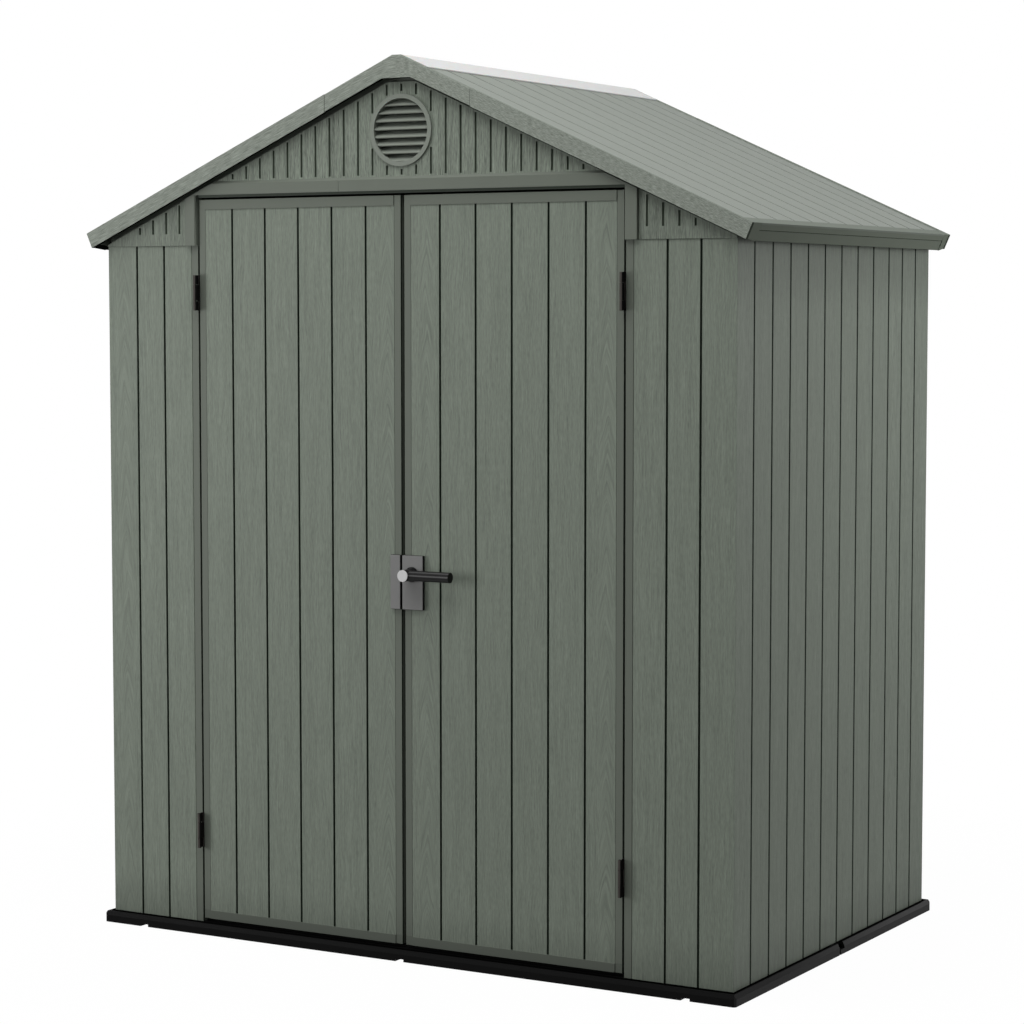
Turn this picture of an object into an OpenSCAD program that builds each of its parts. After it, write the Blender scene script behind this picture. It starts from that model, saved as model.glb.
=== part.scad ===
// Resin garden shed with a gabled roof, a ridge skylight and a pair of front doors.
// The origin is on the ground at the centre of the walls, +Z is up and the doors face -Y.

/* [Overall] */
// Width over the side walls
shed_w = 1686; // [1500:2:1900]
// Depth over the front and back walls
shed_d = 1096; // [950:2:1400]
// Height of the lower walls, from the base rim to the shoulder line
wall_h = 1630; // [1500:5:1800]
// Thickness of every wall panel
wall_t = 18; // [14:0.5:24]

/* [Roof] */
// Pitch of both slopes, in degrees
roof_pitch = 24; // [20:0.5:28]
// Reach of the eaves beyond the side walls
eave_over = 46; // [36:1:60]
// Reach of the rake fascias beyond the front and back walls
rake_over = 26.5; // [22:0.5:40]
// Rise of the eave's top edge above the shoulder line
eave_rise = 32.1; // [30:0.1:40]
// Thickness of the roof panels, square to the slope
roof_t = 18; // [14:0.5:22]
// Drop of the roof boards below the fascia's top edge
roof_drop = 2.5; // [1:0.1:5]
// Number of boards across one roof slope, front to back
roof_boards = 12; // [8:2:16]
// Half width of the flat along the ridge top
ridge_flat = 11; // [6:0.5:16]
// Half width that the skylight covers, measured level
skylight_reach = 79; // [70:1:110]
// Lap of the skylight over each roof panel, measured level
skylight_lap = 17; // [10:1:25]
// Thickness of the skylight sheet
skylight_t = 3; // [2:0.5:4]

/* [Fascias and eaves] */
// Width of a rake fascia, square to the slope
fascia_w = 38; // [34:0.2:50]
// Thickness of a rake fascia
fascia_t = 10; // [6:0.5:12]
// Depth of the block that ends a rear rake fascia at the eave
fascia_return = 36; // [25:1:50]
// Depth of the block that ends a front rake fascia at the eave
front_return = 50; // [25:1:60]
// Distance from the ridge to the seams of the apex fascia
apex_reach = 195; // [150:5:260]
// Half width of the flat under the apex fascia
apex_flat = 37.5; // [20:0.5:50]
// Thickness of the eave trim, along the slope
trim_t = 20; // [14:0.5:28]
// Width of the flange along the top of the eave trim
trim_flange = 27; // [22:0.5:34]
// Height of the eave trim, square to the slope
trim_h = 43; // [30:0.2:46]
// Height of the band along the top of the eave trim
trim_band = 17.5; // [8:0.5:20]
// Set-back of the eave trim below that band
trim_step = 1.6; // [0.5:0.1:4]
// Gap at the ends of an eave trim
trim_seam = 0.8; // [0.3:0.1:0.9]

/* [Boards and grooves] */
// Width of a board groove at its mouth, on the front, back and doors
groove_w = 5.6; // [3:0.2:7]
// Width of a board groove of the side walls
side_groove_w = 7; // [4:0.2:9]
// Depth of a board groove
groove_d = 5; // [2:0.5:7]
// Width of the board at each outer corner
corner_board = 86; // [70:1:100]
// Width of the boards beside the doorway
front_board = 81; // [70:1:90]
// Width of the boards of the rear corner, on the sides
rear_board = 84; // [70:1:100]
// Number of boards in a main wall panel
panel_boards = 8; // [5:1:10]
// Spacing of the short grooves in the gables and shoulders
gable_pitch = 39.2; // [30:0.2:50]
// Width of a roof groove
roof_groove_w = 4; // [2:0.5:8]
// Depth of a roof groove
roof_groove_d = 3; // [1:0.5:5]

/* [Base] */
// Reach of the base beyond the side walls
base_side = 15; // [10:0.5:25]
// Reach of the base beyond the front and back walls
base_front = 22.5; // [14:0.5:30]
// Height of the upright band round the base
base_band_h = 17; // [10:0.5:22]
// Height of the rim that the walls stand on
base_rim_h = 27; // [23:0.5:40]
// Inset of the sloping band above the upright band
base_slope = 5; // [2:0.5:6]
// Width of the lip between that band and the channel round the walls
base_lip = 2.5; // [1:0.5:3]
// Depth of the channel round the walls
channel_d = 6; // [2:0.5:8]
// Rise of the floor above the rim
floor_lift = 3; // [1:0.5:5]
// Gap between the floor and the walls around it
floor_gap = 0.5; // [0.3:0.1:0.9]
// Width of the tongue that joins the base halves
lap_w = 30; // [15:1:60]
// Height of that tongue
lap_h = 13; // [8:0.5:16]
// Gap along the seam of the base halves
base_seam = 0.9; // [0.3:0.1:0.9]
// Width of the open joint of the base halves, outside the walls
joint_w = 6; // [3:0.5:12]
// Length and height of the grip notch behind that joint
joint_notch_l = 22; // [12:1:40]
joint_notch_h = 15; // [8:1:18]
// Distance of the outer drain notches from the centre
notch_x = 737; // [500:1:800]
// Width of a drain notch
notch_w = 22; // [12:1:40]
// Height of a drain notch
notch_h = 6; // [3:0.5:10]

/* [Doorway] */
// Width between the jambs
doorway_w = 1150; // [1000:2:1200]
// Height of the header's underside, from the roof's underside above the jambs
header_lift = -36.5; // [-60:0.5:-20]
// Height of the header beam
header_h = 38; // [25:1:45]
// Width of the header's legs
leg_w = 30.5; // [20:0.5:50]
// Reach of the header in front of the lower walls
header_proud = 10; // [6:0.5:11]
// Reach of the gables and shoulders in front of the lower walls
gable_proud = 3; // [1:0.5:5]
// Width of the smooth border beside the doorway
jamb_border = 19; // [10:1:30]
// Width and depth of the line beside that border
jamb_line = 1.8; // [0.6:0.1:3]
// Height of the recessed band along the underside of the header's face
header_rebate = 6; // [3:0.5:8]
// Depth of that band behind the header's face
rebate_d = 8; // [4:0.5:9]
// Chamfer along the top edge of the header
header_chamfer = 6; // [3:0.5:7]
// Chamfer of the header's legs towards the doorway
leg_chamfer = 3; // [1:0.5:5]
// Gap beside the header's legs, in front of the shoulders
leg_gap = 1.5; // [0.5:0.1:3]
// Drop of the gables' and shoulders' edge below the fascias, square to the slope
gable_drop = 5.5; // [3:0.5:9]
// Depth of the recess above that edge
gable_recess = 12; // [6:0.5:14]
// Distance from the centre to the seam of the header, on its left
header_seam_x = 168; // [100:1:300]

/* [Doors] */
// Thickness of a door
door_t = 22; // [16:0.5:30]
// Gap between a door and its jamb
hinge_gap = 5; // [5:0.5:8]
// Gap between the two doors
middle_gap = 10; // [9.5:0.5:14]
// Gap above the doors
top_gap = 5; // [5:0.5:14]
// Gap between the base rim and the doors
sill_gap = 9.5; // [9:0.5:14]
// Width of a door board
door_board = 93.8; // [80:0.2:100]
// Number of boards in a door
door_boards = 6; // [4:1:6]
// Width of the smooth border down each side of a door
door_border = 17.5; // [10:0.5:25]
// Height of a door's top rail
top_rail_h = 23; // [15:1:40]
// Height of a door's bottom rail
bottom_rail_h = 20; // [15:1:40]
// Reach of the rails in front of the door boards
rail_proud = 2; // [1:0.5:4]

/* [Hinges] */
// Length of a hinge
hinge_len = 84; // [60:1:120]
// Height of the lower hinges' centre above the ground
hinge_low = 252; // [150:1:400]
// Height of the upper hinges' centre, from the shoulder line
hinge_high = -112; // [-500:1:-60]
// Diameter of a hinge knuckle
knuckle_d = 9; // [8:0.5:9]
// Diameter of the hinge pin
hinge_pin_d = 4; // [3:0.5:5]
// Distance of the hinge axis in front of the walls
hinge_reach = 16.5; // [9.5:0.5:20]
// Thickness of a hinge leaf
leaf_t = 1.4; // [1:0.1:1.8]
// Depth of a hinge leaf behind the wall face
leaf_depth = 12; // [8:1:16]
// Share of the length that each end knuckle takes
end_knuckle = 0.265; // [0.2:0.005:0.35]
// Gap between the knuckles, along the pin
knuckle_gap = 0.6; // [0.3:0.1:1]

/* [Handle] */
// Height of the lock plates
plate_h = 125; // [90:1:160]
// Height of the lock plates' centre above the ground
plate_z = 881; // [700:1:1100]
// Thickness of the lock plates
plate_t = 9.5; // [9:0.5:14]
// Width of the lock plate on the right door
lock_plate_w = 55; // [50:1:70]
// Width of the strike plate on the left door
strike_plate_w = 26.5; // [16:0.5:30]
// Reach of both plates over the gap between the doors
plate_overhang = 2.1; // [0:0.1:2.2]
// Distance of the knob from the lock plate's free edge
knob_inset = 26.2; // [20:0.1:30]
// Height of the knob's centre above the plate's centre
knob_lift = 19; // [0:1:30]
// Diameter of the knob
knob_d = 27; // [24:1:34]
// Length of the knob with its cap
knob_len = 41.5; // [34:0.5:50]
// Thickness of the knob's end cap
cap_t = 2.2; // [1:0.1:4]
// Diameter of the lever bar
lever_d = 24; // [16:1:26]
// Reach of the lever from the knob's centre
lever_reach = 118.5; // [90:0.5:140]
// Set-back of the lever bar behind the knob's face
lever_setback = 4; // [3:0.5:6]
// Diameter of the spindle in the lock plate
spindle_d = 10; // [8:0.5:14]
// Length of the spindle
spindle_len = 7; // [5:0.5:8]
// Diameter of the rose round the foot of the knob
rose_d = 35; // [30:1:40]
// Thickness of that rose
rose_t = 3; // [1.5:0.5:5]

/* [Vents] */
// Height of the vents' centre above the header
vent_lift = 104; // [95:1:110]
// Radius of the vent's opening
vent_r = 71.5; // [50:0.5:75]
// Width of the ring around it
vent_ring_w = 10.5; // [7:0.5:12]
// Reach of the ring in front of the gable
vent_proud = 5; // [3:0.5:7]
// Number of slats
slats = 8; // [5:1:9]
// Spacing of the slats
slat_pitch = 18; // [16:0.5:20]
// Thickness of a slat
slat_t = 3; // [2:0.5:4]
// Slope of a slat, in degrees
slat_tilt = 38; // [25:1:50]

/* [Fits] */
// Radial running clearance of pins and spindles
running = 0.05; // [0.02:0.01:0.1]
// Gap of the lever knob from the lock plate
seat_gap = 0.3; // [0.2:0.1:0.5]
// Radial gap of a vent's collar in the gable
collar_gap = 0.3; // [0.1:0.1:0.5]
// Gap between the walls' top edges and the roof panels
roof_seat = 0.1; // [0.05:0.05:0.5]
// Gap of the skylight above the roof panels
skylight_gap = 0.1; // [0.05:0.05:0.5]

/* [Hidden] */
$fn = 64;
over = 1;
half_w = shed_w / 2;
half_d = shed_d / 2;
shoulder_z = base_rim_h + wall_h;
eave_x = half_w + eave_over;
eave_z = shoulder_z + eave_rise;
rake_y = half_d + rake_over;
roof_y = rake_y - fascia_t;
ridge_z = roof_z(ridge_flat);
roof_under = roof_drop + roof_t;
wall_drop = roof_under + roof_seat;
skylight_under = roof_drop - skylight_gap;
skylight_outer = skylight_under - skylight_t;
ridge_gap = skylight_reach - skylight_lap;
main_board = (shed_d - 2 * corner_board - 2 * rear_board) / panel_boards;
back_board = (half_w - corner_board) / panel_boards;
side_front_y = -half_d + corner_board;
side_rear_y = side_front_y + panel_boards * main_board;
jamb_x = doorway_w / 2;
header_z = roof_z(jamb_x, roof_under) + header_lift;
gable_z = header_z + header_h;
gable_face = half_d + gable_proud;
frame_back = half_d - wall_t;
leg_x = jamb_x + leg_w;
door_in = middle_gap / 2;
door_out = jamb_x - hinge_gap;
door_low = base_rim_h + sill_gap;
door_high = header_z - top_gap;
door_mid = (door_in + door_out) / 2;
hinge_x = jamb_x - hinge_gap / 2;
hinge_y = -half_d - hinge_reach;
vent_z = gable_z + vent_lift;
collar_r = vent_r + 4;
ring_r = vent_r + vent_ring_w;
ring_clear = 6;
slot_rise = 3.5;
shoulder_slot_rise = 28;
slot_top_gap = 10.5;
plate_in = door_in - plate_overhang;
knob_x = plate_in + knob_inset;
knob_z = plate_z + knob_lift;
plate_face = -half_d - plate_t;
knob_face = plate_face - knob_len - seat_gap;
lever_y = knob_face + lever_setback + lever_d / 2;
header_face = half_d + header_proud;
base_corner = 8;
fine_line = 0.9;

green = [0.44, 0.47, 0.43];
light_green = [0.56, 0.59, 0.55];
dark_green = [0.34, 0.37, 0.33];
black = [0.1, 0.1, 0.1];
hinge_black = [0.12, 0.1, 0.1];
grey = [0.38, 0.38, 0.38];
pale_grey = [0.72, 0.72, 0.72];
white = [0.87, 0.87, 0.86];

// Height of a plane that lies a given distance under the fascias' top edge
function roof_z(x, drop = 0) =
    eave_z + (eave_x - abs(x)) * tan(roof_pitch) - drop / cos(roof_pitch);

// A point on the right slope: up the slope from the eave's end, then square to it
function slope_point(up, drop) = [eave_x - up * cos(roof_pitch) - drop * sin(roof_pitch),
                                  eave_z + up * sin(roof_pitch) - drop * cos(roof_pitch)];

// Extrudes an outline drawn in X and Z from y0 to y1
module along_y(y0, y1) {
    translate([0, y1, 0]) rotate([90, 0, 0]) linear_extrude(y1 - y0) children();
}

// Extrudes an outline drawn in Y and Z from x0 to x1
module along_x(x0, x1) {
    translate([x0, 0, 0]) rotate([90, 0, 90]) linear_extrude(x1 - x0) children();
}

// Mirrors a piece drawn for the right or the front to the other side
module to_left() { mirror([1, 0, 0]) children(); }
module to_rear() { mirror([0, 1, 0]) children(); }

// Section of a groove whose mouth is at the origin and which runs into +Y
module groove(width = groove_w, depth = groove_d) {
    polygon([[-width / 2, -over], [width / 2, -over], [width / 2, 0],
             [width * 0.3, depth], [-width * 0.3, depth], [-width / 2, 0]]);
}

// Everything below the roof panels and the skylight
module below_roof() {
    top = roof_z(0, roof_drop);
    along_y(-rake_y, rake_y)
        polygon([[-eave_x, 0], [eave_x, 0], [eave_x, roof_z(eave_x, wall_drop)],
                 [ridge_gap, roof_z(ridge_gap, wall_drop)], [ridge_gap, roof_z(ridge_gap, roof_drop)],
                 [sky_flat_x(roof_drop), sky_top(roof_drop)], [-sky_flat_x(roof_drop), sky_top(roof_drop)],
                 [-ridge_gap, roof_z(ridge_gap, roof_drop)], [-ridge_gap, roof_z(ridge_gap, wall_drop)],
                 [-eave_x, roof_z(eave_x, wall_drop)]]);
}

// Height of the skylight's flat top or underside, and where the slope meets it
function sky_top(drop) = ridge_z - (drop - skylight_outer);
function sky_flat_x(drop) = eave_x - (sky_top(drop) + drop / cos(roof_pitch) - eave_z) / tan(roof_pitch);

// ---- Base ----

module base_outline() {
    side = half_w + base_side;
    front = half_d + base_front;
    intersection() {
        union() {
            translate([-side + base_corner, -front, -over])
                cube([2 * (side - base_corner), 2 * front, base_rim_h + 2 * over]);
            translate([-side, -front + base_corner, -over])
                cube([2 * side, 2 * (front - base_corner), base_rim_h + 2 * over]);
            for (x = [-1, 1], y = [-1, 1])
                translate([x * (side - base_corner), y * (front - base_corner), -over])
                    cylinder(r = base_corner, h = base_rim_h + 2 * over);
        }
        along_y(-front, front)
            polygon([[-side, 0], [side, 0], [side, base_band_h],
                     [side - base_slope, base_rim_h], [base_slope - side, base_rim_h],
                     [-side, base_band_h]]);
        along_x(-side, side)
            polygon([[-front, 0], [front, 0], [front, base_band_h],
                     [front - base_slope, base_rim_h], [base_slope - front, base_rim_h],
                     [-front, base_band_h]]);
    }
}

// Channel in the base's top, round the foot of the walls
module base_channel() {
    inset = base_slope + base_lip;
    side = half_w + base_side - inset;
    front = half_d + base_front - inset;
    translate([0, 0, base_rim_h - channel_d]) difference() {
        translate([-side, -front, 0]) cube([2 * side, 2 * front, channel_d + over]);
        translate([-half_w, -half_d, -over]) cube([2 * half_w, 2 * half_d, channel_d + 3 * over]);
    }
}

// Open joint of the base halves at the right side, with the grip notch behind it
module side_joint() {
    translate([half_w, -joint_w / 2, -over]) cube([base_side + over, joint_w, base_rim_h + 2 * over]);
    translate([half_w, -over, base_rim_h - joint_notch_h])
        cube([base_side + over, joint_w / 2 + joint_notch_l + over, joint_notch_h + over]);
}

module drain_notches() {
    for (x = [-notch_x, 0, notch_x])
        translate([x - notch_w / 2, -half_d - base_front - over, -over])
            cube([notch_w, base_front + over, notch_h + over]);
}

// The whole base with its raised floor, still in one piece
module base_whole() {
    inner_x = half_w - wall_t - floor_gap;
    inner_y = half_d - wall_t - floor_gap;
    difference() {
        union() {
            base_outline();
            translate([-inner_x, -inner_y, lap_h])
                cube([2 * inner_x, 2 * inner_y, base_rim_h + floor_lift - lap_h]);
        }
        drain_notches();
        to_rear() drain_notches();
        base_channel();
        side_joint();
        to_left() side_joint();
    }
}

// Space of the tongue under the seam, with an optional gap around its end
module lap_space(gap) {
    reach = half_w - wall_t;
    translate([-reach - gap, -lap_w, -over])
        cube([2 * (reach + gap), 2 * lap_w + gap, lap_h + over]);
}

module front_half(gap) {
    far = half_w + base_side + over;
    translate([-far, -half_d - base_front - over, -over])
        cube([2 * far, half_d + base_front + over - gap, base_rim_h + floor_lift + 2 * over]);
}

module floor_front() {
    color(black) intersection() {
        base_whole();
        union() {
            front_half(base_seam / 2);
            lap_space(0);
        }
    }
}

module floor_rear() {
    color(black) difference() {
        base_whole();
        front_half(-base_seam / 2);
        lap_space(floor_gap);
    }
}

// ---- Walls ----

// Right front corner: the wall beside the doorway and the first board of the side
module front_corner() {
    color(green) difference() {
        intersection() {
            translate([0, 0, base_rim_h]) linear_extrude(roof_z(half_w) - base_rim_h) difference() {
                polygon([[jamb_x, -half_d], [half_w, -half_d], [half_w, side_front_y],
                         [half_w - wall_t, side_front_y], [half_w - wall_t, -frame_back],
                         [jamb_x, -frame_back]]);
                for (i = [0, 1])
                    translate([half_w - corner_board - i * front_board, -half_d]) groove();
                translate([jamb_x + jamb_border, -half_d]) groove(jamb_line, jamb_line);
                translate([half_w, side_front_y]) rotate(90) groove(side_groove_w);
            }
            below_roof();
        }
        translate([jamb_x - over, -half_d - over, shoulder_z])
            cube([half_w - jamb_x + 2 * over, wall_t + over, wall_h]);
    }
}

// Right side wall: the main panel between the two corners
module side_panel() {
    color(green) intersection() {
        translate([0, 0, base_rim_h]) linear_extrude(roof_z(half_w) - base_rim_h) difference() {
            translate([half_w - wall_t, side_front_y])
                square([wall_t, side_rear_y - side_front_y]);
            for (i = [0 : panel_boards])
                translate([half_w, side_front_y + i * main_board]) rotate(90) groove(side_groove_w);
        }
        below_roof();
    }
}

// Right rear corner: three boards of the side and one of the back
module rear_corner() {
    color(green) difference() {
        intersection() {
            translate([0, 0, base_rim_h]) linear_extrude(roof_z(half_w) - base_rim_h) difference() {
                polygon([[half_w, half_d], [half_w, side_rear_y], [half_w - wall_t, side_rear_y],
                         [half_w - wall_t, frame_back], [half_w - corner_board, frame_back],
                         [half_w - corner_board, half_d]]);
                for (i = [0 : 2])
                    translate([half_w, side_rear_y + i * rear_board]) rotate(90) groove(side_groove_w);
                translate([half_w - corner_board, half_d]) rotate(180) groove();
            }
            below_roof();
        }
        translate([half_w - corner_board - over, frame_back, shoulder_z])
            cube([corner_board + 2 * over, wall_t + over, wall_h]);
    }
}

// Right half of the back wall between the corners
module back_panel() {
    color(green) translate([0, 0, base_rim_h]) linear_extrude(wall_h) difference() {
        translate([0, frame_back]) square([half_w - corner_board, wall_t]);
        for (i = [0 : panel_boards])
            translate([i * back_board, half_d]) rotate(180) groove();
    }
}

// ---- Gables, shoulders and header ----

// One short groove of the front gable grid, from z0 to z1
module slot(x, z0, z1) {
    if (z1 > z0 + groove_w)
        translate([x, -gable_face, z0]) linear_extrude(z1 - z0) groove();
}

// The grooves of the grid from one index to another, clear of the vent's ring
module slots(first, last, low) {
    clear = ring_r + ring_clear;
    for (i = [first : last]) {
        x = i * gable_pitch;
        high = min(roof_z(x, fascia_w) - slot_top_gap, roof_z(apex_flat, fascia_w) - slot_top_gap);
        chord = abs(x) < clear ? sqrt(clear * clear - x * x) : 0;
        if (chord > 0) {
            slot(x, low, vent_z - chord);
            slot(x, vent_z + chord, high);
        } else {
            slot(x, low, high);
        }
    }
}

// Recess under the roof, above the visible edge of the gables, shoulders and header
module roof_recess() {
    drop = fascia_w + gable_drop;
    far = eave_x + over;
    along_y(-header_face - over, -gable_face + gable_recess)
        polygon([[-far, roof_z(far, drop)], [-apex_flat, roof_z(apex_flat, drop)],
                 [apex_flat, roof_z(apex_flat, drop)], [far, roof_z(far, drop)],
                 [far, ridge_z], [-far, ridge_z]]);
}

// Right shoulder: the panel between the header's leg and the eave
module shoulder() {
    first = ceil((leg_x + groove_w) / gable_pitch);
    last = floor((half_w - corner_board) / gable_pitch);
    color(green) difference() {
        intersection() {
            translate([leg_x, -gable_face, shoulder_z])
                cube([half_w - leg_x, gable_proud + wall_t, wall_h]);
            below_roof();
        }
        slots(first, last, shoulder_z + shoulder_slot_rise);
        roof_recess();
        translate([leg_x - over, -gable_face - over, shoulder_z - over])
            cube([leg_gap + over, gable_recess + over, wall_h]);
    }
}

module door_header() {
    color(green) difference() {
        intersection() {
            along_y(-header_face, -frame_back)
                polygon([[-leg_x, shoulder_z], [-jamb_x, shoulder_z], [-jamb_x, header_z],
                         [jamb_x, header_z], [jamb_x, shoulder_z], [leg_x, shoulder_z],
                         [leg_x, gable_z], [-leg_x, gable_z]]);
            below_roof();
        }
        roof_recess();
        translate([-jamb_x, -header_face - over, header_z - over])
            cube([doorway_w, rebate_d + over, header_rebate + over]);
        along_x(-leg_x - over, leg_x + over)
            polygon([[-header_face - over, gable_z - header_chamfer - over],
                     [-header_face + header_chamfer + over, gable_z + over],
                     [-header_face - over, gable_z + over]]);
        leg_edge();
        to_left() leg_edge();
        translate([-header_seam_x, -header_face, header_z])
            linear_extrude(header_h) groove(fine_line, fine_line);
    }
}

// Chamfer down the right leg of the header, towards the doorway
module leg_edge() {
    reach = leg_chamfer + over;
    translate([0, 0, shoulder_z - over]) linear_extrude(header_z + header_rebate - shoulder_z + over)
        polygon([[jamb_x - over, -header_face - over], [jamb_x + reach, -header_face - over],
                 [jamb_x - over, -header_face + reach]]);
}

module vent_hole() {
    translate([0, -gable_face - over, vent_z]) rotate([-90, 0, 0])
        cylinder(r = collar_r + collar_gap, h = gable_proud + wall_t + 2 * over);
}

// Front gable, standing on the header
module front_gable() {
    last = floor((roof_corner_x(gable_z) - groove_w) / gable_pitch);
    color(green) difference() {
        intersection() {
            translate([-leg_x, -gable_face, gable_z])
                cube([2 * leg_x, gable_proud + wall_t, wall_h]);
            below_roof();
        }
        slots(-last, last, gable_z + slot_rise);
        roof_recess();
        vent_hole();
    }
}

// Where the underside of the roof reaches a given height
function roof_corner_x(z) = eave_x - (z + roof_under / cos(roof_pitch) - eave_z) / tan(roof_pitch);

// Rear gable over the whole back wall, drawn at the front and mirrored
module rear_gable() {
    last = floor((half_w - corner_board) / gable_pitch);
    color(green) to_rear() difference() {
        intersection() {
            translate([-half_w, -gable_face, shoulder_z])
                cube([shed_w, gable_proud + wall_t, wall_h]);
            below_roof();
        }
        slots(-last, last, shoulder_z + shoulder_slot_rise);
        roof_recess();
        vent_hole();
    }
}

// Ring, collar and slats of a vent
module vent() {
    depth = gable_proud + wall_t;
    run = depth + vent_proud - 2 * slat_t;
    middle = -gable_face + (depth - vent_proud) / 2;
    color(green) {
        translate([0, -gable_face, vent_z]) rotate([-90, 0, 0]) difference() {
            union() {
                translate([0, 0, -vent_proud]) cylinder(r = ring_r, h = vent_proud);
                cylinder(r = collar_r, h = depth);
            }
            translate([0, 0, -vent_proud - over]) cylinder(r = vent_r, h = depth + vent_proud + 2 * over);
        }
        intersection() {
            translate([0, -gable_face, vent_z]) rotate([-90, 0, 0]) translate([0, 0, -vent_proud])
                cylinder(r = vent_r + over, h = depth + vent_proud);
            for (i = [0 : slats - 1])
                translate([0, middle, vent_z + (i - (slats - 1) / 2) * slat_pitch])
                    rotate([slat_tilt, 0, 0])
                        cube([2 * collar_r, run / cos(slat_tilt), slat_t], center = true);
        }
    }
}

// ---- Roof ----

// Right roof slope from y0 to y1, with the board grooves that fall inside it
module roof_slope(y0, y1) {
    board = 2 * rake_y / roof_boards;
    color(light_green) difference() {
        along_y(y0, y1)
            polygon([slope_point(trim_flange, roof_drop), slope_point(trim_flange, roof_under),
                     [ridge_gap, roof_z(ridge_gap, roof_under)], [ridge_gap, roof_z(ridge_gap, roof_drop)]]);
        for (i = [-roof_boards / 2 + 1 : roof_boards / 2 - 1])
            translate([slope_point(0, roof_drop)[0], i * board, slope_point(0, roof_drop)[1]])
                rotate([0, roof_pitch - 90, 0]) rotate(-90) linear_extrude(half_w * 1.3)
                    groove(roof_groove_w, roof_groove_d);
    }
}

module ridge_skylight() {
    outer = skylight_outer;
    under = skylight_under;
    color(white) along_y(-roof_y, roof_y)
        polygon([[-skylight_reach, roof_z(skylight_reach, outer)],
                 [-sky_flat_x(outer), sky_top(outer)], [sky_flat_x(outer), sky_top(outer)],
                 [skylight_reach, roof_z(skylight_reach, outer)],
                 [skylight_reach, roof_z(skylight_reach, under)],
                 [sky_flat_x(under), sky_top(under)], [-sky_flat_x(under), sky_top(under)],
                 [-skylight_reach, roof_z(skylight_reach, under)]]);
}

// Right half of a front rake fascia, from the apex seam down to the eave block
module fascia_side(block) {
    color(green) {
        along_y(-rake_y, -roof_y)
            polygon([slope_point(0, 0), slope_point(0, fascia_w),
                     [apex_reach, roof_z(apex_reach, fascia_w)], [apex_reach, roof_z(apex_reach)]]);
        difference() {
            along_y(-roof_y, -rake_y + block)
                polygon([slope_point(0, 0), slope_point(0, trim_h), slope_point(trim_t, trim_h),
                         slope_point(trim_t, roof_under), slope_point(trim_flange, roof_under),
                         slope_point(trim_flange, 0)]);
            block_slant(block);
        }
    }
}

// Space under the block's slanted underside, which falls from the fascia's edge to the trim's
module block_slant(block) {
    start = slope_point(0, fascia_w);
    slant = atan((trim_h - fascia_w) / (block - fascia_t));
    translate([start[0], -roof_y, start[1]]) rotate([0, roof_pitch, 0]) rotate([-slant, 0, 0])
        translate([-2 * trim_t, -over, -trim_h]) cube([3 * trim_t, 2 * block, trim_h]);
}

module fascia_apex() {
    color(green) along_y(-rake_y, -roof_y)
        polygon([[-apex_reach, roof_z(apex_reach)], [-ridge_flat, ridge_z], [ridge_flat, ridge_z],
                 [apex_reach, roof_z(apex_reach)], [apex_reach, roof_z(apex_reach, fascia_w)],
                 [apex_flat, roof_z(apex_flat, fascia_w)], [-apex_flat, roof_z(apex_flat, fascia_w)],
                 [-apex_reach, roof_z(apex_reach, fascia_w)]]);
}

// Right eave trim between the ends of the two fascias
module eave_trim() {
    front_end = rake_y - front_return - trim_seam;
    rear_end = rake_y - fascia_return - trim_seam;
    color(dark_green) along_y(-front_end, rear_end)
        polygon([slope_point(0, 0), slope_point(0, trim_band), slope_point(trim_step, trim_band),
                 slope_point(trim_step, trim_h), slope_point(trim_t, trim_h),
                 slope_point(trim_t, roof_under), slope_point(trim_flange, roof_under),
                 slope_point(trim_flange, 0)]);
}

// ---- Doors and hinges ----

module door() {
    width = door_out - door_in;
    color(green) {
        difference() {
            translate([door_in, -half_d, door_low]) cube([width, door_t, door_high - door_low]);
            for (i = [1 : door_boards - 1])
                translate([door_mid + (i - door_boards / 2) * door_board, -half_d, door_low + bottom_rail_h])
                    linear_extrude(door_high - door_low - bottom_rail_h - top_rail_h) groove();
            for (x = [door_in + door_border, door_out - door_border])
                translate([x, -half_d, door_low])
                    linear_extrude(door_high - door_low) groove(fine_line, fine_line);
        }
        for (rail = [[door_low, bottom_rail_h], [door_high - top_rail_h, top_rail_h]])
            translate([door_in + door_border + fine_line / 2, -half_d - rail_proud, rail[0]])
                cube([width - 2 * door_border - fine_line, rail_proud + over, rail[1]]);
    }
}

// Leaf plate of a hinge: full length behind the wall face, and reaching a knuckle in front
module hinge_leaf(x, reach_low, reach_high) {
    root = -half_d - hinge_reach / 4;
    translate([x, root, -hinge_len / 2]) cube([leaf_t, leaf_depth - root - half_d, hinge_len]);
    translate([x, hinge_y, reach_low]) cube([leaf_t, root - hinge_y + over, reach_high - reach_low]);
}

// Wall half of a right hinge, with the pin: the two end knuckles and their leaf
module wall_hinge() {
    end_len = hinge_len * end_knuckle;
    reach = hinge_len / 2;
    for (low = [-reach, reach - end_len]) {
        translate([hinge_x, hinge_y, low]) cylinder(d = knuckle_d, h = end_len);
        hinge_leaf(jamb_x - leaf_t, low, low + end_len);
    }
    translate([hinge_x, hinge_y, -reach]) cylinder(d = hinge_pin_d, h = hinge_len);
}

// Door half of a right hinge: the middle knuckle and its leaf
module door_hinge() {
    middle = hinge_len / 2 - hinge_len * end_knuckle - knuckle_gap;
    difference() {
        union() {
            translate([hinge_x, hinge_y, -middle]) cylinder(d = knuckle_d, h = 2 * middle);
            hinge_leaf(door_out, -middle, middle);
        }
        translate([hinge_x, hinge_y, -hinge_len])
            cylinder(d = hinge_pin_d + 2 * running, h = 2 * hinge_len);
    }
}

module at_hinges() {
    for (z = [hinge_low, shoulder_z + hinge_high]) translate([0, 0, z]) children();
}

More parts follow.
